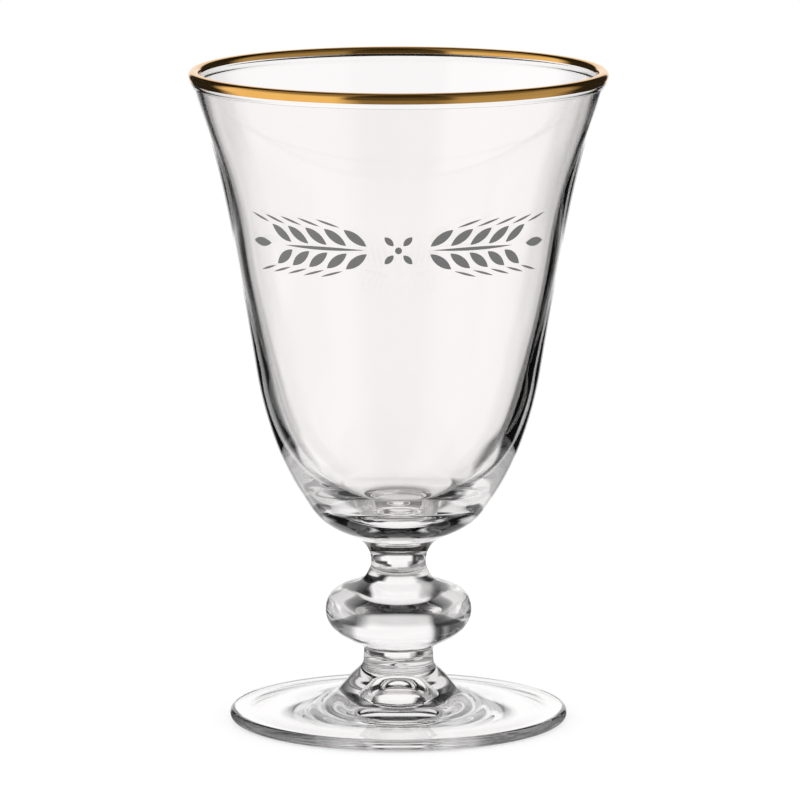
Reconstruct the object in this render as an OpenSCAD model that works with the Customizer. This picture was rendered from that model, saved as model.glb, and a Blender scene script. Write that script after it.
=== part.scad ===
// A footed goblet for beer: a flared bowl with a gilt lip, a short stem with a round knop
// and a domed foot. Every glass piece is turned about Z, and the foot rests on Z = 0.
// The front of the bowl, which carries the printed spray, faces -Y.

/* [Foot] */
// Diameter of the foot
foot_d = 80.2; // [60:0.1:100]
// Height at which the stem is set on the foot
foot_h = 10.8; // [8:0.1:16]
// Thickness of the foot's rounded edge
foot_edge_t = 2.8; // [1.5:0.1:5]
// Diameter of the seam between foot and stem
foot_seam_d = 21.6; // [18:0.1:30]
// Width of the flat ring that the glass stands on
stand_ring_w = 2.2; // [1:0.1:5]
// Rise of the shallow dish under the foot
dish_h = 1.2; // [0.5:0.1:3]
// Diameter of the dimple in the middle of the dish
dimple_d = 14; // [10:0.5:20]
// Depth of the dimple above the dish
dimple_h = 5.8; // [1:0.1:6.5]

/* [Stem] */
// Height of the lower stem, between foot and knop
lower_stem_h = 6.7; // [4:0.1:20]
// Diameter of the lower stem at its waist
lower_stem_d = 16.6; // [10:0.1:20]
// Diameter of the seam between lower stem and knop
knop_foot_d = 17; // [12:0.1:24]
// Height of the knop
knop_h = 18.4; // [14:0.1:26]
// Diameter of the knop
knop_d = 34.7; // [26:0.1:44]
// Diameter of the seam between knop and neck
knop_top_d = 14; // [12:0.1:18]
// Height of the neck, between knop and bowl
neck_h = 5.7; // [4:0.1:20]
// Diameter of the neck at its waist
neck_d = 13; // [9:0.1:16]
// Diameter of the seam between neck and bowl
bowl_seam_d = 15.4; // [13:0.1:20]

/* [Bowl] */
// Diameter over the lip
rim_d = 98.7; // [80:0.1:120]
// Height of the bowl above its seam with the neck
bowl_h = 113.4; // [90:0.1:140]
// Thickness of the bead along the lip
lip_t = 2.6; // [2.2:0.05:4]
// Length of the bead below its round top
bead_l = 0.8; // [0.7:0.1:4]
// Length over which the bead runs out into the wall
bead_run = 1.8; // [0.5:0.1:5]
// Thickness of the wall below the bead
wall_top = 2; // [1.2:0.05:2.2]
// Diameter of the bowl where the flare ends and the belly begins
belly_d = 67.2; // [60:0.1:76]
// Height of that place above the bowl's seam
belly_h = 42.4; // [36:0.1:52]
// Thickness of the wall there
wall_belly = 3; // [2:0.1:5]
// Diameter of the bowl at its heel, where it turns in to the neck
heel_d = 46.6; // [42:0.1:52]
// Height of the heel above the bowl's seam
heel_h = 13.2; // [11:0.1:17]
// Thickness of the glass at the bottom of the bowl
floor_t = 9.8; // [4:0.1:12]
// Diameter of the shallow bottom inside the bowl
floor_d = 28; // [16:0.5:30]

/* [Gilt lip] */
// Thickness of the fired gold
gilt_t = 0.15; // [0.05:0.05:0.4]
// How far the gold runs down inside, below the bead's round top
gilt_inner_l = 0.6; // [0.2:0.1:0.7]

/* [Printed spray] */
// Thickness of the fired enamel
print_t = 0.1; // [0.05:0.05:0.3]
// Height of the middle of the spray above the bowl's seam
print_h = 76; // [62:0.5:88]
// Width of the rosette in the middle
rosette_w = 9; // [5:0.1:12]
// Width of the rosette's round centre
rosette_eye_d = 1.6; // [0.8:0.1:2]
// Length of one grain
grain_l = 6.4; // [4:0.1:7]
// Width of one grain
grain_w = 2.1; // [1:0.1:2.4]
// Pairs of grains on each ear
grain_pairs = 5; // [2:1:6]
// Distance from one pair of grains to the next
grain_step = 4.1; // [4:0.1:6]
// Length of the bristle in front of a grain
bristle_l = 6; // [3:0.1:8]
// Width of a bristle
bristle_w = 0.5; // [0.3:0.05:0.6]
// Width of an ear's stalk
stalk_w = 0.8; // [0.4:0.1:0.9]

/* [Hidden] */

// Facets of a full turn where a view or a mesh is made
$fn = 144;
// Steps along each curve of an outline
curve_steps = 12;
// Facets of a leaf's circles, for each time that its width goes into its length
leaf_facets = 36;

// Heights of the seams and of the lip
lower_stem_z = foot_h;
knop_z = lower_stem_z + lower_stem_h;
neck_z = knop_z + knop_h;
bowl_z = neck_z + neck_h;
lip_z = bowl_z + bowl_h;

// How far the wall leans outward at each station, in degrees from the vertical
foot_seam_lean = -48;
knop_foot_lean = 40;
shoulder_lean = -69;
knop_top_lean = -25;
bowl_seam_lean = 35;
cup_lean = 67;
heel_lean = 33;
belly_lean = 9;
lip_lean = 17;
inner_belly_lean = 12.4;
floor_lean = 48.7;

// Points of the curve from a to b, whose ends run towards the two handles
function bend(a, a_handle, b_handle, b) = [
    for (i = [0 : curve_steps])
        let (t = i / curve_steps, s = 1 - t)
            pow(s, 3) * a + 3 * s * s * t * a_handle + 3 * s * t * t * b_handle + pow(t, 3) * b
];

// The point at a distance from p along a line that leans outward from the vertical
function leaning(p, lean, reach) = p + reach * [sin(lean), cos(lean)];

// Points of an arc about c
function arc(c, radius, from, to) = [
    for (i = [0 : curve_steps])
        let (turn = from + (to - from) * i / curve_steps)
            c + radius * [cos(turn), sin(turn)]
];

// Stations that two neighbouring pieces share
foot_seam = [foot_seam_d / 2, lower_stem_z];
knop_foot = [knop_foot_d / 2, knop_z];
knop_top = [knop_top_d / 2, neck_z];
bowl_seam = [bowl_seam_d / 2, bowl_z];

// The foot: a shallow dome with a rounded edge, dished and dimpled below
foot_edge = [foot_d / 2 - foot_edge_t / 2, foot_edge_t / 2];
foot_rise = foot_h - foot_edge_t;
foot_span = foot_edge.x - foot_seam.x;
stand_ring = [foot_edge.x - stand_ring_w, 0];
dimple_edge = [dimple_d / 2, dish_h];
dish_span = stand_ring.x - dimple_edge.x;
foot_dome_share = 0.5;
foot_brim_share = [0.9, 0.03];
dish_share = 0.33;
dimple_share = [0.82, 0.62];
dimple_top_share = 0.55;
foot_top = bend(
    foot_seam,
    leaning(foot_seam, foot_seam_lean, -foot_dome_share * foot_rise),
    foot_edge + [-foot_brim_share.x * foot_span, foot_edge_t / 2 + foot_brim_share.y * foot_rise],
    foot_edge + [0, foot_edge_t / 2]
);
foot_dish = bend(
    stand_ring,
    [stand_ring.x - dish_share * dish_span, dish_h * (1 - dish_share)],
    [dimple_edge.x + dish_share * dish_span, dish_h],
    dimple_edge
);
foot_dimple = bend(
    dimple_edge,
    [dimple_share.x * dimple_edge.x, dish_h + dimple_share.y * dimple_h],
    [dimple_top_share * dimple_edge.x, dish_h + dimple_h],
    [0, dish_h + dimple_h]
);
foot_outline = concat(
    [[0, lower_stem_z]],
    foot_top,
    arc(foot_edge, foot_edge_t / 2, 90, -90),
    foot_dish,
    foot_dimple
);

// The lower stem: a waisted spool
lower_waist_share = 0.61;
lower_handle_share = [0.42, 0.28, 0.18, 0.1];
lower_waist = [lower_stem_d / 2, lower_stem_z + lower_waist_share * lower_stem_h];
lower_stem_outline = concat(
    [[0, lower_stem_z]],
    bend(
        foot_seam,
        leaning(foot_seam, foot_seam_lean, lower_handle_share[0] * lower_stem_h),
        lower_waist - [0, lower_handle_share[1] * lower_stem_h],
        lower_waist
    ),
    bend(
        lower_waist,
        lower_waist + [0, lower_handle_share[2] * lower_stem_h],
        leaning(knop_foot, knop_foot_lean, -lower_handle_share[3] * lower_stem_h),
        knop_foot
    ),
    [[0, knop_z]]
);

// The knop: a round cushion with a sloping shoulder
knop_waist_share = 0.47;
knop_under_lean = 56;
knop_handle_share = [0.174, 0.293, 0.272, 0.266, 0.07, 0.06];
shoulder_share = [0.52, 0.13];
knop_waist = [knop_d / 2, knop_z + knop_waist_share * knop_h];
shoulder = [shoulder_share.x * knop_d / 2, neck_z - shoulder_share.y * knop_h];
knop_outline = concat(
    [[0, knop_z]],
    bend(
        knop_foot,
        leaning(knop_foot, knop_under_lean, knop_handle_share[0] * knop_h),
        knop_waist - [0, knop_handle_share[1] * knop_h],
        knop_waist
    ),
    bend(
        knop_waist,
        knop_waist + [0, knop_handle_share[2] * knop_h],
        leaning(shoulder, shoulder_lean, -knop_handle_share[3] * knop_h),
        shoulder
    ),
    bend(
        shoulder,
        leaning(shoulder, shoulder_lean, knop_handle_share[4] * knop_h),
        leaning(knop_top, knop_top_lean, -knop_handle_share[5] * knop_h),
        knop_top
    ),
    [[0, neck_z]]
);

// The neck: a slim waisted spool
neck_waist_share = 0.3;
neck_handle_share = [0.14, 0.14, 0.28, 0.28];
neck_waist = [neck_d / 2, neck_z + neck_waist_share * neck_h];
neck_outline = concat(
    [[0, neck_z]],
    bend(
        knop_top,
        leaning(knop_top, knop_top_lean, neck_handle_share[0] * neck_h),
        neck_waist - [0, neck_handle_share[1] * neck_h],
        neck_waist
    ),
    bend(
        neck_waist,
        neck_waist + [0, neck_handle_share[2] * neck_h],
        leaning(bowl_seam, bowl_seam_lean, -neck_handle_share[3] * neck_h),
        bowl_seam
    ),
    [[0, bowl_z]]
);

// The bead along the lip, placed across and down the leaning wall from the middle of its round top
lip_middle = [rim_d / 2 - lip_t / 2, lip_z - lip_t / 2];
bead_end = bead_l + bead_run;
bead_turn = bead_l + bead_run / 2;
function on_lip(across, down) =
    leaning(lip_middle, lip_lean, -down) + across * [cos(lip_lean), -sin(lip_lean)];

// The outside of the bowl, from the neck up to the bead
cup_share = [0.51, 0.22];
cup = [cup_share.x * heel_d / 2, bowl_z + cup_share.y * heel_h];
heel = [heel_d / 2, bowl_z + heel_h];
belly = [belly_d / 2, bowl_z + belly_h];
wall_rise = belly_h - heel_h;
flare_rise = bowl_h - belly_h;
under_handle_share = [0.08, 0.23];
cup_handle_share = [0.6, 0.42];
belly_handle_share = [0.27, 0.41];
flare_handle_share = [0.76, 0.17];
bowl_under = bend(
    bowl_seam,
    leaning(bowl_seam, bowl_seam_lean, under_handle_share[0] * heel_h),
    leaning(cup, cup_lean, -under_handle_share[1] * heel_h),
    cup
);
bowl_cup = bend(
    cup,
    leaning(cup, cup_lean, cup_handle_share[0] * heel_h),
    leaning(heel, heel_lean, -cup_handle_share[1] * heel_h),
    heel
);
bowl_belly = bend(
    heel,
    leaning(heel, heel_lean, belly_handle_share[0] * wall_rise),
    leaning(belly, belly_lean, -belly_handle_share[1] * wall_rise),
    belly
);
bowl_flare = bend(
    belly,
    leaning(belly, belly_lean, flare_handle_share[0] * flare_rise),
    leaning(on_lip(wall_top / 2, bead_end), lip_lean, -flare_handle_share[1] * flare_rise),
    on_lip(wall_top / 2, bead_end)
);

// The inside of the bowl, from the bead down to the bottom
cavity_z = bowl_z + floor_t;
inner_belly = belly - [wall_belly, 0];
floor_rise_share = 0.07;
inner_rise = belly_h - floor_t;
floor_edge = [floor_d / 2, cavity_z + floor_rise_share * inner_rise];
inner_flare_share = [0.6, 0.48];
inner_belly_share = [0.755, 0.08];
inner_floor_share = [0.07, 0.5];
bowl_inner_flare = bend(
    on_lip(-wall_top / 2, bead_end),
    leaning(on_lip(-wall_top / 2, bead_end), lip_lean, -inner_flare_share[0] * flare_rise),
    leaning(inner_belly, inner_belly_lean, inner_flare_share[1] * flare_rise),
    inner_belly
);
bowl_inner_belly = bend(
    inner_belly,
    leaning(inner_belly, inner_belly_lean, -inner_belly_share[0] * inner_rise),
    leaning(floor_edge, floor_lean, inner_belly_share[1] * inner_rise),
    floor_edge
);
bowl_inner_floor = bend(
    floor_edge,
    leaning(floor_edge, floor_lean, -inner_floor_share[0] * inner_rise),
    [inner_floor_share[1] * floor_edge.x, cavity_z],
    [0, cavity_z]
);

// The bead's own outline, bare below the gold and cut back by the gold's thickness under it
function gilt_path(radius) = concat(
    [on_lip(radius, bead_l)],
    arc(lip_middle, radius, -lip_lean, 180 - lip_lean),
    [on_lip(-radius, gilt_inner_l)]
);
bead_outer_run = bend(
    on_lip(wall_top / 2, bead_end),
    on_lip(wall_top / 2, bead_turn),
    on_lip(lip_t / 2, bead_turn),
    on_lip(lip_t / 2, bead_l)
);
bead_inner_run = bend(
    on_lip(-lip_t / 2, bead_l),
    on_lip(-lip_t / 2, bead_turn),
    on_lip(-wall_top / 2, bead_turn),
    on_lip(-wall_top / 2, bead_end)
);
bowl_outline = concat(
    [[0, bowl_z]],
    bowl_under,
    bowl_cup,
    bowl_belly,
    bowl_flare,
    bead_outer_run,
    gilt_path(lip_t / 2 - gilt_t),
    [on_lip(-lip_t / 2, gilt_inner_l)],
    bead_inner_run,
    bowl_inner_flare,
    bowl_inner_belly,
    bowl_inner_floor
);

function reversed(points) = [for (i = [len(points) - 1 : -1 : 0]) points[i]];

// A piece turned about Z from its outline
module turned(outline) {
    rotate_extrude()
        polygon(outline);
}

// A pointed leaf shape along X, centred: the overlap of two equal circles
module leaf(length, width) {
    bow = (length * length + width * width) / (4 * width);
    facets = leaf_facets * ceil(length / width);
    intersection() {
        translate([0, width / 2 - bow])
            circle(bow, $fn = facets);
        translate([0, bow - width / 2])
            circle(bow, $fn = facets);
    }
}

// Carries a flat shape out through the wall, at a place measured round the bowl and up from the spray's middle
module through_wall(along, up) {
    rotate([0, 0, along / (PI * belly_d) * 360])
        translate([0, -belly_d / 4, bowl_z + print_h + up])
            rotate([90, 0, 0])
                linear_extrude(rim_d / 2)
                    children();
}

// One ear of the spray, to the right of the rosette (side = 1) or to the left (side = -1)
grain_lean = 36;
bristle_lean = 16;
bristle_place_share = 1.35;
ear_gap = rosette_w / 2 + stalk_w;
ear_l = grain_pairs * grain_step;
grain_rise = stalk_w / 2 + sin(grain_lean) * grain_l / 2 + grain_w / 4;
bristle_rise = grain_rise + sin(grain_lean) * grain_l / 2 + sin(bristle_lean) * bristle_l / 2 + bristle_w;
module ear(side) {
    through_wall(side * (ear_gap + ear_l / 2), 0)
        leaf(ear_l, stalk_w);
    for (i = [0 : grain_pairs - 1], up = [-1, 1]) {
        through_wall(side * (ear_gap + grain_l / 2 + i * grain_step), up * grain_rise)
            rotate(side * up * grain_lean)
                leaf(grain_l, grain_w);
        through_wall(side * (ear_gap + bristle_place_share * grain_l + i * grain_step), up * bristle_rise)
            rotate(side * up * bristle_lean)
                leaf(bristle_l, bristle_w);
    }
    through_wall(side * (ear_gap + ear_l + grain_w + grain_l / 2), 0)
        leaf(grain_l, grain_w);
}

module rosette() {
    petal_l = rosette_w / 2 - rosette_eye_d;
    for (quarter = [0 : 3])
        through_wall(0, 0)
            rotate(45 + 90 * quarter)
                translate([rosette_eye_d + petal_l / 2, 0])
                    leaf(petal_l, petal_l / 2);
    through_wall(0, 0)
        circle(rosette_eye_d / 2);
}

module foot() {
    color([0.86, 0.89, 0.9])
        turned(foot_outline);
}

module lower_stem() {
    color([0.78, 0.83, 0.85])
        turned(lower_stem_outline);
}

module knop() {
    color([0.84, 0.88, 0.9])
        turned(knop_outline);
}

module neck() {
    color([0.78, 0.83, 0.85])
        turned(neck_outline);
}

module bowl() {
    color([0.9, 0.93, 0.94])
        turned(bowl_outline);
}

module gilt_lip() {
    color([0.83, 0.62, 0.25])
        turned(concat(gilt_path(lip_t / 2), reversed(gilt_path(lip_t / 2 - gilt_t))));
}

// The spray is printed on the flare, so it takes the flare's own curve on both faces
module printed_spray() {
    color([0.45, 0.45, 0.45])
        intersection() {
            turned(concat(bowl_flare, [for (p = reversed(bowl_flare)) p + [print_t, 0]]));
            union() {
                ear(1);
                ear(-1);
                rosette();
            }
        }
}

foot();
lower_stem();
knop();
neck();
bowl();
gilt_lip();
printed_spray();
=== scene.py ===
"""Looks of the footed goblet: clear glass turned from smooth outlines, a gilt lip and a printed spray.

Every outline follows the same curves as the CAD source, in metres, with more points along each one.
"""

import math

import bmesh
import bpy
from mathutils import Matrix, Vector


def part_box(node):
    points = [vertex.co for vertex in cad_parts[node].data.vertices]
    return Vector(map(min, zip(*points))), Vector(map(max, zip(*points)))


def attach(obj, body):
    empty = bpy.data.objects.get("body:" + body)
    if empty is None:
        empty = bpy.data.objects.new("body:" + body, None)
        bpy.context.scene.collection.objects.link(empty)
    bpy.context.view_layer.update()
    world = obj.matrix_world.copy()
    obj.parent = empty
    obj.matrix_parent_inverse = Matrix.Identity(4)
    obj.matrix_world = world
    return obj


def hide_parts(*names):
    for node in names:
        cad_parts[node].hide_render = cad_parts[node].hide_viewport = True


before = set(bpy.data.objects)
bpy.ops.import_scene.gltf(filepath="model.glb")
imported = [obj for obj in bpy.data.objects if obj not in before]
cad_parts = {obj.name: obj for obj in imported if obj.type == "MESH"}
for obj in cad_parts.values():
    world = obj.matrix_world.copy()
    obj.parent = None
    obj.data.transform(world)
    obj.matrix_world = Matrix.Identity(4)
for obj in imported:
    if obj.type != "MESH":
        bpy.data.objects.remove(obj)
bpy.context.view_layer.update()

MM = 0.001
BODY = "root"

# Camera: the photograph's viewing angle, with the glass a hair left of the middle
FRAME_PX = 800
SENSOR_MM = 36
FOCAL_PX = 6857
AXIS_LEFT_PX = 1.5
CAMERA_AWAY = 1.599
CAMERA_UP = 0.3389
CAMERA_DOWN_DEG = 9.322
CAMERA_REACH = 10


def make_camera():
    lens = bpy.data.cameras.new("camera")
    lens.sensor_width = SENSOR_MM
    lens.lens = SENSOR_MM * FOCAL_PX / FRAME_PX
    lens.shift_x = AXIS_LEFT_PX / FRAME_PX
    lens.clip_end = CAMERA_REACH
    camera = bpy.data.objects.new("camera", lens)
    camera.location = (0, -CAMERA_AWAY, CAMERA_UP)
    camera.rotation_euler = (math.radians(90 - CAMERA_DOWN_DEG), 0, 0)
    bpy.context.scene.collection.objects.link(camera)
    bpy.context.scene.camera = camera


make_camera()

# Heights of the seams and of the lip, from the frame
foot_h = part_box("foot")[1].z
knop_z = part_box("knop")[0].z
neck_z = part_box("neck")[0].z
bowl_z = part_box("bowl")[0].z
lip_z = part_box("gilt_lip")[1].z
lower_stem_h = knop_z - foot_h
knop_h = neck_z - knop_z
neck_h = bowl_z - neck_z
bowl_h = lip_z - bowl_z

# Foot
foot_d = 80.2 * MM
foot_edge_t = 2.8 * MM
foot_seam_d = 21.6 * MM
stand_ring_w = 2.2 * MM
dish_h = 1.2 * MM
dimple_d = 14 * MM
dimple_h = 5.8 * MM

# Stem
lower_stem_d = 16.6 * MM
knop_foot_d = 17 * MM
knop_d = 34.7 * MM
knop_top_d = 14 * MM
neck_d = 13 * MM
bowl_seam_d = 15.4 * MM

# Bowl
rim_d = 98.7 * MM
lip_t = 2.6 * MM
bead_l = 0.8 * MM
bead_run = 1.8 * MM
wall_top = 2 * MM
belly_d = 67.2 * MM
belly_h = 42.4 * MM
wall_belly = 3 * MM
heel_d = 46.6 * MM
heel_h = 13.2 * MM
floor_t = 9.8 * MM
floor_d = 28 * MM

# Gilt lip and printed spray
gilt_t = 0.15 * MM
gilt_inner_l = 0.6 * MM
print_t = 0.1 * MM
print_h = 76 * MM
rosette_w = 9 * MM
rosette_eye_d = 1.6 * MM
grain_l = 6.4 * MM
grain_w = 2.1 * MM
grain_pairs = 5
grain_step = 4.1 * MM
bristle_l = 6 * MM
bristle_w = 0.5 * MM
stalk_w = 0.8 * MM

# How far the wall leans outward at each station, in degrees from the vertical
UPRIGHT = 0
FOOT_SEAM_LEAN = -48
KNOP_FOOT_LEAN = 40
KNOP_UNDER_LEAN = 56
SHOULDER_LEAN = -69
KNOP_TOP_LEAN = -25
BOWL_SEAM_LEAN = 35
CUP_LEAN = 67
HEEL_LEAN = 33
BELLY_LEAN = 9
LIP_LEAN = 17
INNER_BELLY_LEAN = 12.4
FLOOR_LEAN = 48.7

# Shares of a piece's own sizes that place its stations and the handles that have no lean: outward and up where
# there are two
FOOT_BRIM_SHARE = (0.9, 0.03)
DISH_SHARE = 0.33
DIMPLE_SHARE = (0.82, 0.62)
DIMPLE_TOP_SHARE = 0.55
LOWER_WAIST_SHARE = 0.61
KNOP_WAIST_SHARE = 0.47
SHOULDER_SHARE = (0.52, 0.13)
NECK_WAIST_SHARE = 0.3
CUP_SHARE = (0.51, 0.22)
FLOOR_RISE_SHARE = 0.07
FLOOR_FLAT_SHARE = 0.5

# How far a curve's handles reach from its start and its end, in shares of a height
FOOT_DOME_HANDLE = 0.5
LOWER_FLARE_HANDLES = (0.42, 0.28)
LOWER_COLLAR_HANDLES = (0.18, 0.1)
KNOP_UNDER_HANDLES = (0.174, 0.293)
KNOP_OVER_HANDLES = (0.272, 0.266)
KNOP_COLLAR_HANDLES = (0.07, 0.06)
NECK_LOW_HANDLES = (0.14, 0.14)
NECK_HIGH_HANDLES = (0.28, 0.28)
CUP_UNDER_HANDLES = (0.08, 0.23)
CUP_OVER_HANDLES = (0.6, 0.42)
SIDE_HANDLES = (0.27, 0.41)
FLARE_HANDLES = (0.76, 0.17)
INNER_FLARE_HANDLES = (0.6, 0.48)
INNER_SIDE_HANDLES = (0.755, 0.08)
FLOOR_HANDLE = 0.07

# Points along a curve, and the distance below which two points are one
CURVE_STEPS = 24
SAME_POINT = 0.001 * MM


def bend(a, a_handle, b_handle, b):
    """Points of the curve from a to b, whose ends run towards the two handles."""
    points = []
    for i in range(CURVE_STEPS + 1):
        t = i / CURVE_STEPS
        s = 1 - t
        points.append(s**3 * a + 3 * s * s * t * a_handle + 3 * s * t * t * b_handle + t**3 * b)
    return points


def leaning(p, lean, reach):
    """The point at a distance from p along a line that leans outward from the vertical."""
    return p + reach * Vector((math.sin(math.radians(lean)), math.cos(math.radians(lean))))


def run(a, a_lean, b, b_lean, handles, height):
    """The curve that leaves a and meets b at their leans. The height is negative where it runs down."""
    return bend(a, leaning(a, a_lean, handles[0] * height), leaning(b, b_lean, -handles[1] * height), b)


def arc(c, radius, start, end):
    """Points of an arc about c, in degrees from the outward level."""
    points = []
    for i in range(CURVE_STEPS + 1):
        turn = math.radians(start + (end - start) * i / CURVE_STEPS)
        points.append(c + radius * Vector((math.cos(turn), math.sin(turn))))
    return points


# Stations that two neighbouring pieces share
foot_seam = Vector((foot_seam_d / 2, foot_h))
knop_foot = Vector((knop_foot_d / 2, knop_z))
knop_top = Vector((knop_top_d / 2, neck_z))
bowl_seam = Vector((bowl_seam_d / 2, bowl_z))


def foot_wall():
    """From the seam over the domed top, round the edge and in to the dimple's middle."""
    edge = Vector((foot_d / 2 - foot_edge_t / 2, foot_edge_t / 2))
    rise = foot_h - foot_edge_t
    span = edge.x - foot_seam.x
    ring = Vector((edge.x - stand_ring_w, 0))
    dimple = Vector((dimple_d / 2, dish_h))
    dish_span = ring.x - dimple.x
    top = bend(
        foot_seam,
        leaning(foot_seam, FOOT_SEAM_LEAN, -FOOT_DOME_HANDLE * rise),
        edge + Vector((-FOOT_BRIM_SHARE[0] * span, foot_edge_t / 2 + FOOT_BRIM_SHARE[1] * rise)),
        edge + Vector((0, foot_edge_t / 2)),
    )
    dish = bend(
        ring,
        Vector((ring.x - DISH_SHARE * dish_span, dish_h * (1 - DISH_SHARE))),
        Vector((dimple.x + DISH_SHARE * dish_span, dish_h)),
        dimple,
    )
    hollow = bend(
        dimple,
        Vector((DIMPLE_SHARE[0] * dimple.x, dish_h + DIMPLE_SHARE[1] * dimple_h)),
        Vector((DIMPLE_TOP_SHARE * dimple.x, dish_h + dimple_h)),
        Vector((0, dish_h + dimple_h)),
    )
    return top + arc(edge, foot_edge_t / 2, 90, -90) + dish + hollow


def lower_stem_wall():
    waist = Vector((lower_stem_d / 2, foot_h + LOWER_WAIST_SHARE * lower_stem_h))
    flare = run(foot_seam, FOOT_SEAM_LEAN, waist, UPRIGHT, LOWER_FLARE_HANDLES, lower_stem_h)
    collar = run(waist, UPRIGHT, knop_foot, KNOP_FOOT_LEAN, LOWER_COLLAR_HANDLES, lower_stem_h)
    return flare + collar


def knop_wall():
    waist = Vector((knop_d / 2, knop_z + KNOP_WAIST_SHARE * knop_h))
    shoulder = Vector((SHOULDER_SHARE[0] * knop_d / 2, neck_z - SHOULDER_SHARE[1] * knop_h))
    under = run(knop_foot, KNOP_UNDER_LEAN, waist, UPRIGHT, KNOP_UNDER_HANDLES, knop_h)
    over = run(waist, UPRIGHT, shoulder, SHOULDER_LEAN, KNOP_OVER_HANDLES, knop_h)
    collar = run(shoulder, SHOULDER_LEAN, knop_top, KNOP_TOP_LEAN, KNOP_COLLAR_HANDLES, knop_h)
    return under + over + collar


def neck_wall():
    waist = Vector((neck_d / 2, neck_z + NECK_WAIST_SHARE * neck_h))
    low = run(knop_top, KNOP_TOP_LEAN, waist, UPRIGHT, NECK_LOW_HANDLES, neck_h)
    high = run(waist, UPRIGHT, bowl_seam, BOWL_SEAM_LEAN, NECK_HIGH_HANDLES, neck_h)
    return low + high


# Stations of the bowl, from the bottom up. The bead runs along the lip and ends some way down the wall.
cup = Vector((CUP_SHARE[0] * heel_d / 2, bowl_z + CUP_SHARE[1] * heel_h))
heel = Vector((heel_d / 2, bowl_z + heel_h))
belly = Vector((belly_d / 2, bowl_z + belly_h))
lip_middle = Vector((rim_d / 2 - lip_t / 2, lip_z - lip_t / 2))
bead_turn = bead_l + bead_run / 2
bead_end = bead_l + bead_run
wall_rise = belly_h - heel_h
flare_rise = bowl_h - belly_h


def on_lip(across, down):
    """The point across and down the leaning wall from the middle of its round top."""
    lean = math.radians(LIP_LEAN)
    return leaning(lip_middle, LIP_LEAN, -down) + across * Vector((math.cos(lean), -math.sin(lean)))


def bowl_flare():
    """The outside of the bowl from the belly up to the bead, which the spray is printed on."""
    top = on_lip(wall_top / 2, bead_end)
    return run(belly, BELLY_LEAN, top, LIP_LEAN, FLARE_HANDLES, flare_rise)


def bowl_outside():
    under = run(bowl_seam, BOWL_SEAM_LEAN, cup, CUP_LEAN, CUP_UNDER_HANDLES, heel_h)
    over = run(cup, CUP_LEAN, heel, HEEL_LEAN, CUP_OVER_HANDLES, heel_h)
    side = run(heel, HEEL_LEAN, belly, BELLY_LEAN, SIDE_HANDLES, wall_rise)
    return under + over + side + bowl_flare()


def bowl_inside():
    """From the bead down to the middle of the cavity's floor."""
    cavity_z = bowl_z + floor_t
    inner_belly = belly - Vector((wall_belly, 0))
    inner_rise = belly_h - floor_t
    edge = Vector((floor_d / 2, cavity_z + FLOOR_RISE_SHARE * inner_rise))
    top = on_lip(-wall_top / 2, bead_end)
    flare = run(top, LIP_LEAN, inner_belly, INNER_BELLY_LEAN, INNER_FLARE_HANDLES, -flare_rise)
    side = run(inner_belly, INNER_BELLY_LEAN, edge, FLOOR_LEAN, INNER_SIDE_HANDLES, -inner_rise)
    bottom = bend(
        edge,
        leaning(edge, FLOOR_LEAN, -FLOOR_HANDLE * inner_rise),
        Vector((FLOOR_FLAT_SHARE * edge.x, cavity_z)),
        Vector((0, cavity_z)),
    )
    return flare + side + bottom


def gilt_path(radius):
    """The gold's path over the bead: outside, over the top and a little way down inside."""
    over = arc(lip_middle, radius, -LIP_LEAN, 180 - LIP_LEAN)
    return [on_lip(radius, bead_l)] + over + [on_lip(-radius, gilt_inner_l)]


def bowl_wall():
    """From the seam up the outside, over the bead and down into the cavity."""
    outer_run = bend(
        on_lip(wall_top / 2, bead_end),
        on_lip(wall_top / 2, bead_turn),
        on_lip(lip_t / 2, bead_turn),
        on_lip(lip_t / 2, bead_l),
    )
    inner_run = bend(
        on_lip(-lip_t / 2, bead_l),
        on_lip(-lip_t / 2, bead_turn),
        on_lip(-wall_top / 2, bead_turn),
        on_lip(-wall_top / 2, bead_end),
    )
    return bowl_outside() + outer_run + gilt_path(lip_t / 2 - gilt_t) + inner_run + bowl_inside()


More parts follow.
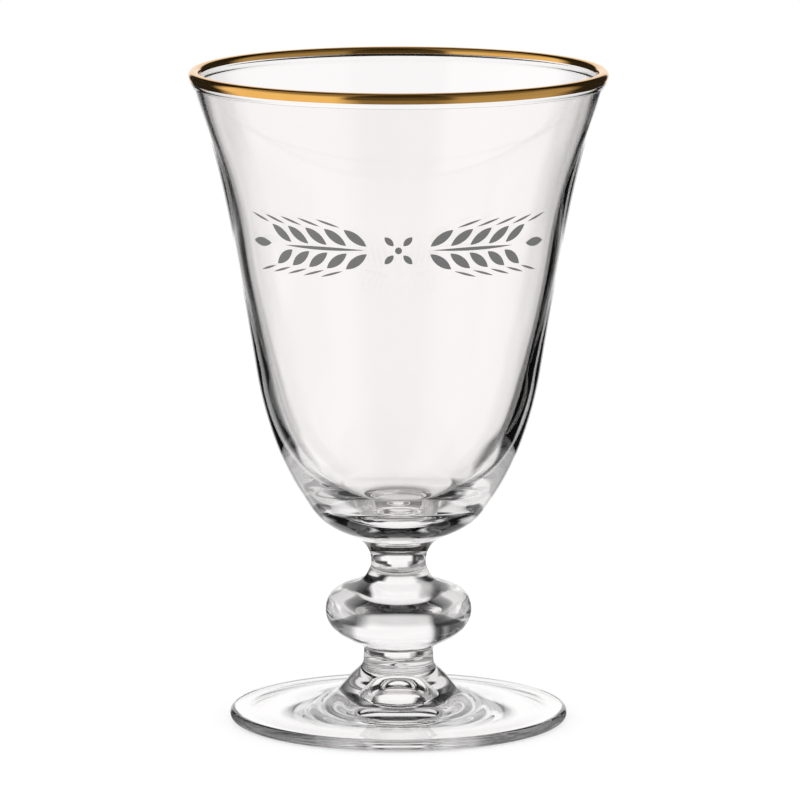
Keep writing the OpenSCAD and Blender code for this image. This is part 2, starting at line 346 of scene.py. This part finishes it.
class Tree:
    """A node tree under construction: nodes are made by type and wired by their outputs."""

    def __init__(self, owner):
        owner.use_nodes = True
        self.tree = owner.node_tree
        self.tree.nodes.clear()

    def node(self, kind, inputs=None, **settings):
        made = self.tree.nodes.new(kind)
        for name, value in settings.items():
            setattr(made, name, value)
        for name, value in (inputs or {}).items():
            self.feed(made.inputs[name], value)
        return made

    def feed(self, socket, value):
        if isinstance(value, bpy.types.NodeSocket):
            self.tree.links.new(value, socket)
        else:
            socket.default_value = value

    def math(self, operation, a, b=0.0, c=0.0):
        made = self.node("ShaderNodeMath", operation=operation)
        for socket, value in zip(made.inputs, (a, b, c)):
            self.feed(socket, value)
        return made.outputs[0]

    def step(self, value, low, high):
        """0 below low and 1 above high, with a soft edge between."""
        inputs = {"Value": value, "From Min": low, "From Max": high}
        return self.node("ShaderNodeMapRange", inputs, interpolation_type="SMOOTHSTEP", clamp=True).outputs[0]

    def mix(self, amount, a, b):
        """A level that goes from a to b as the amount goes from 0 to 1."""
        return self.node("ShaderNodeMix", {0: amount, 2: a, 3: b}).outputs[0]

    def tone(self, amount, tones):
        """A colour that goes from the first to the second tone as the amount goes from 0 to 1."""
        return self.node("ShaderNodeMix", {0: amount, 6: tones[0], 7: tones[1]}, data_type="RGBA").outputs[2]

    def noise(self, scale, detail, roughness=0.5, squash=1):
        """Noise through the piece, as many times finer upward as squash says."""
        where = self.node("ShaderNodeTexCoord").outputs["Object"]
        where = self.node("ShaderNodeMapping", {"Vector": where, "Scale": (1, 1, squash)}).outputs[0]
        inputs = {"Vector": where, "Scale": scale, "Detail": detail, "Roughness": roughness}
        return self.node("ShaderNodeTexNoise", inputs).outputs["Fac"]

    def bump(self, height, strength, depth):
        return self.node("ShaderNodeBump", {"Height": height, "Strength": strength, "Distance": depth}).outputs[0]

    def principled(self, inputs):
        return self.node("ShaderNodeBsdfPrincipled", inputs).outputs[0]

    def surface(self, shader):
        self.node("ShaderNodeOutputMaterial", {"Surface": shader})


# Materials. Each pair of tones goes from dark to light, and WAVES is a noise's scale to the metre.
GLASS_TINT = (1, 0.984, 0.982, 1)
GLASS_IOR = 1.52
MOULD_WAVES = 55
MOULD_DEPTH = 0.02 * MM
GOLD_TONES = ((0.82, 0.4, 0.085, 1), (0.94, 0.56, 0.165, 1))
GOLD_ROUGHNESS = (0.05, 0.16)
POOL_WAVES = 90
STREAK_WAVES = 60
STREAK_SQUASH = 60
STREAK_DEPTH = 0.01 * MM
GOLD_BACK_TONES = ((0.02, 0.012, 0.008, 1), (0.05, 0.032, 0.02, 1))
GOLD_BACK_ROUGHNESS = 0.4
ENAMEL_TONES = ((0.13, 0.13, 0.13, 1), (0.2, 0.2, 0.2, 1))
ENAMEL_ROUGHNESS = 0.45
ENAMEL_WAVES = 2600
ENAMEL_DEPTH = 0.01 * MM


def new_material(name):
    material = bpy.data.materials.new(name)
    return material, Tree(material)


def clear_glass():
    """Pressed soda glass: smooth, with the faint waviness that the mould leaves."""
    material, t = new_material("clear_glass")
    wave = t.noise(MOULD_WAVES, detail=1.5, roughness=0.4)
    bump = t.bump(wave, strength=0.25, depth=MOULD_DEPTH)
    inputs = {"Base Color": GLASS_TINT, "Roughness": 0, "IOR": GLASS_IOR, "Transmission Weight": 1}
    t.surface(t.principled({**inputs, "Normal": bump}))
    return material


def seam_glass():
    """Where two gathers were joined hot the glass is one, so the seam itself bends no light."""
    material, t = new_material("seam_glass")
    t.surface(t.node("ShaderNodeBsdfTransparent").outputs[0])
    return material


def fired_gold():
    """Fired liquid gold: a mirror with faint brush streaks round the lip and a little pooling."""
    material, t = new_material("fired_gold")
    tone = t.tone(t.noise(POOL_WAVES, detail=3), GOLD_TONES)
    streak = t.noise(STREAK_WAVES, detail=2, squash=STREAK_SQUASH)
    rough = t.mix(streak, *GOLD_ROUGHNESS)
    bump = t.bump(streak, strength=0.3, depth=STREAK_DEPTH)
    t.surface(t.principled({"Base Color": tone, "Metallic": 1, "Roughness": rough, "Normal": bump}))
    return material


def gold_back():
    """The underside of the fired gold, which the glass shows as a dull brown."""
    material, t = new_material("gold_back")
    tone = t.tone(t.noise(POOL_WAVES, detail=3), GOLD_BACK_TONES)
    t.surface(t.principled({"Base Color": tone, "Roughness": GOLD_BACK_ROUGHNESS}))
    return material


def grey_enamel():
    """Fired screen-printed enamel: an even grey with fine grain and a soft sheen."""
    material, t = new_material("grey_enamel")
    grain = t.noise(ENAMEL_WAVES, detail=2)
    tone = t.tone(grain, ENAMEL_TONES)
    bump = t.bump(grain, strength=0.4, depth=ENAMEL_DEPTH)
    t.surface(t.principled({"Base Color": tone, "Roughness": ENAMEL_ROUGHNESS, "Normal": bump}))
    return material


GLASS = clear_glass()
SEAM = seam_glass()
GOLD = fired_gold()
GOLD_BACK = gold_back()
ENAMEL = grey_enamel()

# Pieces: facets of a full turn, the least angle of a sharp edge, and how far a coat reaches into its glass
TURN_FACETS = 256
SHARP_DEG = 50
COAT_SINK = 0.03 * MM


def distinct(outline):
    """The outline without points that repeat their neighbour."""
    kept = []
    for p in outline:
        if not kept or (p - kept[-1]).length > SAME_POINT:
            kept.append(p)
    return kept


def ring_at(mesh, p):
    """The corners of a full turn of a point, or the one corner on the axis."""
    if p.x < SAME_POINT:
        return [mesh.verts.new((0, 0, p.y))]
    turns = [2 * math.pi * k / TURN_FACETS for k in range(TURN_FACETS)]
    return [mesh.verts.new((p.x * math.cos(a), p.x * math.sin(a), p.y)) for a in turns]


def turned(name, wall, back=(), seams=0):
    """A mesh turned about Z. back leads from the wall's end to its start in the second material, and
    seams says how many of the wall's ends are closed with a flat seam instead."""
    front = len(distinct(wall))
    outline = distinct([*wall, *back])
    if seams >= 1:
        outline = [Vector((0, outline[0].y))] + outline
    if seams == 2:
        outline = outline + [Vector((0, outline[-1].y))]
    mesh = bmesh.new()
    rings = [ring_at(mesh, p) for p in outline]
    pairs = list(zip(rings, rings[1:]))
    if back:
        pairs.append((rings[-1], rings[0]))
    for i, (low, high) in enumerate(pairs):
        flat = (i == 0 and seams >= 1) or (i == len(pairs) - 1 and seams == 2)
        for k in range(TURN_FACETS):
            after = (k + 1) % TURN_FACETS
            corners = [low[k % len(low)], low[after % len(low)], high[after % len(high)], high[k % len(high)]]
            face = mesh.faces.new(list(dict.fromkeys(corners)))
            face.smooth = not flat
            face.material_index = 1 if flat or (back and i >= front) else 0
    bmesh.ops.recalc_face_normals(mesh, faces=mesh.faces)
    for edge in mesh.edges:
        kinds = {face.material_index for face in edge.link_faces}
        edge.smooth = len(kinds) == 1 and edge.calc_face_angle(0) < math.radians(SHARP_DEG)
    return finished(name, mesh)


def finished(name, mesh):
    data = bpy.data.meshes.new(name)
    mesh.to_mesh(data)
    mesh.free()
    piece = bpy.data.objects.new(name, data)
    bpy.context.scene.collection.objects.link(piece)
    return piece


def place(piece, node, *materials):
    """The piece stands for a CAD node, rides on the body and wears the materials."""
    for material in materials:
        piece.data.materials.append(material)
    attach(piece, BODY)
    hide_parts(node)


def make_glass():
    walls = (
        ("foot", foot_wall(), 1),
        ("lower_stem", lower_stem_wall(), 2),
        ("knop", knop_wall(), 2),
        ("neck", neck_wall(), 2),
        ("bowl", bowl_wall(), 1),
    )
    for node, wall, seams in walls:
        place(turned(node + "_glass", wall, seams=seams), node, GLASS, SEAM)


def make_gilt_lip():
    inner = gilt_path(lip_t / 2 - gilt_t - COAT_SINK)
    place(turned("gilt_band", gilt_path(lip_t / 2), back=inner[::-1]), "gilt_lip", GOLD, GOLD_BACK)


# Printed spray: leans are in degrees from the stalk, and the two shares are of a grain's width and length
GRAIN_LEAN = 36
BRISTLE_LEAN = 16
GRAIN_CLEAR_SHARE = 0.25
BRISTLE_ALONG_SHARE = 1.35
LEAF_STEPS = 14
LEAF_ROWS = 3
MERGE_GAP = 0.0005 * MM
printed_wall = bowl_flare()


def printed_radius(z):
    """Radius of the bowl's outside at a height on the flare."""
    for low, high in zip(printed_wall, printed_wall[1:]):
        if low.y <= z <= high.y:
            return low.x + (high.x - low.x) * (z - low.y) / (high.y - low.y)
    raise ValueError("the spray leaves the flare")


def add_patch(mesh, grid, along, up, turn):
    """A coat on the bowl's outside. grid holds rows of flat points, which are turned by degrees and
    then set along the wall and up it."""
    angle = along / (belly_d / 2)
    ca, sa = math.cos(angle), math.sin(angle)
    ct, st = math.cos(math.radians(turn)), math.sin(math.radians(turn))

    def on_wall(p, proud):
        x = p[0] * ct - p[1] * st
        z = bowl_z + print_h + up + p[0] * st + p[1] * ct
        y = -math.sqrt((printed_radius(z) + proud) ** 2 - x * x)
        return mesh.verts.new((x * ca - y * sa, x * sa + y * ca, z))

    outer = [[on_wall(p, print_t) for p in row] for row in grid]
    inner = [[on_wall(p, -COAT_SINK) for p in row] for row in grid]
    rows, columns = len(grid), len(grid[0])
    for i in range(rows - 1):
        for j in range(columns - 1):
            for sheet in (outer, inner):
                mesh.faces.new((sheet[i][j], sheet[i + 1][j], sheet[i + 1][j + 1], sheet[i][j + 1]))
    rim = [(0, j) for j in range(columns)] + [(i, columns - 1) for i in range(1, rows)]
    rim += [(rows - 1, j) for j in range(columns - 2, -1, -1)] + [(i, 0) for i in range(rows - 2, 0, -1)]
    for (i, j), (k, m) in zip(rim, rim[1:] + rim[:1]):
        mesh.faces.new((outer[i][j], outer[k][m], inner[k][m], inner[i][j]))


def row_at(x, reach):
    """A row of points across a flat shape, as far as its reach to both sides."""
    return [(x, reach * (2 * j / LEAF_ROWS - 1)) for j in range(LEAF_ROWS + 1)]


def leaf_grid(length, width):
    """Rows of points across a pointed leaf along X, the overlap of two equal circles."""
    bow = (length * length + width * width) / (4 * width)
    half = math.asin(length / 2 / bow)
    turns = [half * (2 * i / LEAF_STEPS - 1) for i in range(LEAF_STEPS + 1)]
    return [row_at(bow * math.sin(at), bow * math.cos(at) - (bow - width / 2)) for at in turns]


def disc_grid(diameter):
    """Rows of points across a disc."""
    turns = [math.pi * (i / LEAF_STEPS - 0.5) for i in range(LEAF_STEPS + 1)]
    return [row_at(diameter / 2 * math.sin(at), diameter / 2 * math.cos(at)) for at in turns]


def shifted(grid, x):
    return [[(p[0] + x, p[1]) for p in row] for row in grid]


def make_spray():
    """Two ears of grain that lie away from a rosette of four petals round an eye."""
    mesh = bmesh.new()
    grain = leaf_grid(grain_l, grain_w)
    bristle = leaf_grid(bristle_l, bristle_w)
    ear_from = rosette_w / 2 + stalk_w
    ear_l = grain_pairs * grain_step
    half_rise = math.sin(math.radians(GRAIN_LEAN)) * grain_l / 2
    grain_rise = stalk_w / 2 + half_rise + GRAIN_CLEAR_SHARE * grain_w
    bristle_rise = grain_rise + half_rise + math.sin(math.radians(BRISTLE_LEAN)) * bristle_l / 2 + bristle_w
    for side in (1, -1):
        add_patch(mesh, leaf_grid(ear_l, stalk_w), side * (ear_from + ear_l / 2), 0, 0)
        add_patch(mesh, grain, side * (ear_from + ear_l + grain_w + grain_l / 2), 0, 0)
        for i in range(grain_pairs):
            grain_at = side * (ear_from + grain_l / 2 + i * grain_step)
            bristle_at = side * (ear_from + BRISTLE_ALONG_SHARE * grain_l + i * grain_step)
            for up in (-1, 1):
                add_patch(mesh, grain, grain_at, up * grain_rise, side * up * GRAIN_LEAN)
                add_patch(mesh, bristle, bristle_at, up * bristle_rise, side * up * BRISTLE_LEAN)
    petal_l = rosette_w / 2 - rosette_eye_d
    petal = shifted(leaf_grid(petal_l, petal_l / 2), rosette_eye_d + petal_l / 2)
    for quarter in range(4):
        add_patch(mesh, petal, 0, 0, 45 + 90 * quarter)
    add_patch(mesh, disc_grid(rosette_eye_d), 0, 0, 0)
    bmesh.ops.remove_doubles(mesh, verts=mesh.verts, dist=MERGE_GAP)
    bmesh.ops.dissolve_degenerate(mesh, dist=MERGE_GAP, edges=mesh.edges)
    bmesh.ops.recalc_face_normals(mesh, faces=mesh.faces)
    place(finished("enamel_spray", mesh), "printed_spray", ENAMEL)


make_glass()
make_gilt_lip()
make_spray()

# Stage: a pale floor just below the foot, which reflections and refractions don't show
FLOOR_R = 1.2
FLOOR_FACETS = 128
FLOOR_DROP = 0.2 * MM
FLOOR_GLOW = 0.65
FLOOR_GREY = (0.42, 0.42, 0.42, 1)


def make_floor():
    mesh = bmesh.new()
    bmesh.ops.create_circle(mesh, cap_ends=True, segments=FLOOR_FACETS, radius=FLOOR_R)
    floor = finished("floor", mesh)
    floor.location.z = -FLOOR_DROP
    material, t = new_material("pale_floor")
    rays = t.node("ShaderNodeLightPath").outputs
    hidden = t.math("MAXIMUM", rays["Is Glossy Ray"], rays["Is Transmission Ray"])
    glow = t.node("ShaderNodeEmission", {"Strength": FLOOR_GLOW}).outputs[0]
    plain = t.node("ShaderNodeBsdfDiffuse", {"Color": FLOOR_GREY}).outputs[0]
    both = t.node("ShaderNodeAddShader", {0: glow, 1: plain}).outputs[0]
    clear = t.node("ShaderNodeBsdfTransparent").outputs[0]
    t.surface(t.node("ShaderNodeMixShader", {0: hidden, 1: both, 2: clear}).outputs[0])
    floor.data.materials.append(material)


# Studio: dark, with white panels that draw the edges of the glass. Each list holds stops of (degrees, level).
# A TURN list goes round from +Y towards +X, and an UP list rises from straight down to straight up.
TURN_LIMIT = 180
UP_LIMIT = 90

# What the glass shows by refraction: five bands above the ground, each with the heights at which it takes over
GROUND_TURN = [
    (-180, 0.3), (-100, 0.35), (-66, 0.5), (-58, 0.9), (-24, 0.9), (-20, 0.5), (-14, 1),
    (10, 1), (13, 0.3), (15, 0), (21, 0), (24, 0.9), (40, 0.9), (46, 0.2), (60, 0.4),
    (108, 0.5), (118, 0.9), (152, 0.9), (162, 0.5), (180, 0.5),
]
LOW_TURN = [
    (-180, 0.3), (-100, 0.35), (-66, 0.5), (-58, 0.9), (-42, 0.9), (-37, 0.3), (-32, 0),
    (-25, 0.05), (-20, 0.3), (-14, 1), (10, 1), (13, 0.4), (15, 0), (50, 0), (60, 0.4),
    (108, 0.5), (118, 0.9), (152, 0.9), (162, 0.5), (180, 0.5),
]
MID_TURN = [
    (-180, 0.15), (-145, 0.35), (-108, 0.35), (-102, 1), (-78, 1), (-70, 0.35), (-66, 0.35),
    (-58, 0.6), (-41, 0.6), (-34, 0.05), (-26, 0), (-23, 0.1), (-20, 0.45), (-15, 0.6),
    (-12.5, 1), (16, 1), (18.5, 0), (46, 0), (52, 0.6), (58, 0.6), (64, 0.1), (78, 0.1),
    (86, 0.45), (110, 0.45), (118, 1), (152, 1), (160, 0.5), (180, 0.5),
]
HIGH_TURN = [
    (-180, 0.5), (-145, 0.6), (-110, 0.6), (-102, 1), (-64, 1), (-56, 0.2), (-36, 0.05),
    (-31, 0.25), (-27, 0), (-23, 0.1), (-20, 0.85), (-17, 1), (26, 1), (32, 0.4),
    (42, 0.15), (58, 0.15), (66, 0.45), (112, 0.45), (120, 0.65), (180, 0.7),
]
SKY_TURN = [
    (-180, 0.4), (-120, 0.6), (-100, 0.85), (-57, 0.85), (-51, 0), (-24, 0), (-19, 1),
    (18, 1), (26, 0.3), (30, 0), (54, 0), (60, 0.8), (100, 0.8), (150, 0.6), (180, 0.4),
]
TOP_TURN = [
    (-180, 0.4), (-120, 0.6), (-66, 0.7), (-58, 0), (-26, 0), (-20, 1),
    (20, 1), (26, 0), (60, 0), (66, 0.5), (150, 0.6), (180, 0.4),
]
BANDS = (
    ((-35, -31), LOW_TURN),
    ((-24, -20), MID_TURN),
    ((-8, -3), HIGH_TURN),
    ((10, 15), SKY_TURN),
    ((34, 38), TOP_TURN),
)

# How the level changes with height, straight ahead and to the sides, and the turn at which the sides begin
AHEAD_UP = [
    (-90, 0.75), (-62, 0.75), (-58, 0.15), (-48, 0.2), (-42, 0.45), (-37, 0.9), (-28, 1),
    (15, 1), (20, 0.7), (25, 0), (36, 0), (42, 1), (58, 1), (62, 0), (90, 0),
]
ASIDE_UP = [(-90, 1), (34, 1), (40, 0.5), (50, 0.2), (56, 0), (90, 0)]
ASIDE_BLEND = (27, 29)

# What the surfaces mirror: one band, and another below it
MIRRORED_TURN = [
    (-180, 0.1), (-152, 0.1), (-146, 1), (-70, 1), (-58, 0.02), (-19, 0.02), (-15, 1),
    (15, 1), (18.5, 0.02), (60, 0.02), (74, 0.45), (146, 0.45), (152, 0.1), (180, 0.1),
]
MIRRORED_LOW_TURN = [
    (-180, 0.25), (-158, 0.25), (-140, 1), (-75, 1), (-62, 0.05), (-34, 0.05), (-28, 0.9), (-8, 0.9),
    (0, 0.4), (28, 0.5), (34, 0.05), (62, 0.05), (80, 0.5), (142, 0.5), (158, 0.25), (180, 0.25),
]
MIRRORED_BLEND = (-30, -20)
MIRRORED_UP = [(-90, 1), (14, 1), (28, 0.8), (38, 0.4), (90, 0.1)]


def profile(t, angle, limit, stops):
    """Level by an angle from -limit to limit, with straight lines between the stops."""
    ramp = t.node("ShaderNodeValToRGB", {0: t.math("MULTIPLY_ADD", angle, 0.5 / limit, 0.5)})
    elements = ramp.color_ramp.elements
    while len(elements) < len(stops):
        elements.new(1)
    for element, (at, level) in zip(elements, stops):
        element.position = (at + limit) / (2 * limit)
        element.color = (level, level, level, 1)
    return ramp.outputs[0]


def make_world():
    world = bpy.data.worlds.new("studio")
    bpy.context.scene.world = world
    t = Tree(world)
    way = t.node("ShaderNodeSeparateXYZ", {"Vector": t.node("ShaderNodeTexCoord").outputs["Generated"]}).outputs
    per_radian = math.degrees(1)
    turn = t.math("MULTIPLY", t.math("ARCTAN2", way[0], way[1]), per_radian)
    up = t.math("MULTIPLY", t.math("ARCSINE", way[2]), per_radian)

    def by_turn(stops):
        return profile(t, turn, TURN_LIMIT, stops)

    def by_height(stops):
        return profile(t, up, UP_LIMIT, stops)

    around = by_turn(GROUND_TURN)
    for blend, stops in BANDS:
        around = t.mix(t.step(up, *blend), around, by_turn(stops))
    aside = t.step(t.math("ABSOLUTE", turn), *ASIDE_BLEND)
    seen_through = t.math("MULTIPLY", around, t.mix(aside, by_height(AHEAD_UP), by_height(ASIDE_UP)))
    mirrored = t.mix(t.step(up, *MIRRORED_BLEND), by_turn(MIRRORED_LOW_TURN), by_turn(MIRRORED_TURN))
    mirrored = t.math("MULTIPLY", mirrored, by_height(MIRRORED_UP))
    rays = t.node("ShaderNodeLightPath").outputs
    level = t.mix(rays["Is Glossy Ray"], 1.0, mirrored)
    level = t.mix(rays["Is Transmission Ray"], level, seen_through)
    level = t.math("MAXIMUM", level, rays["Is Camera Ray"])
    light = t.node("ShaderNodeBackground", {"Color": (1, 1, 1, 1), "Strength": level})
    t.node("ShaderNodeOutputWorld", {"Surface": light.outputs[0]})


make_floor()
make_world()

# Light crosses many glass walls on its way, so its paths may be long
scene = bpy.context.scene
scene.view_settings.view_transform = "Standard"
scene.cycles.max_bounces = 24
scene.cycles.glossy_bounces = 16
scene.cycles.transmission_bounces = 24
scene.cycles.transparent_max_bounces = 24
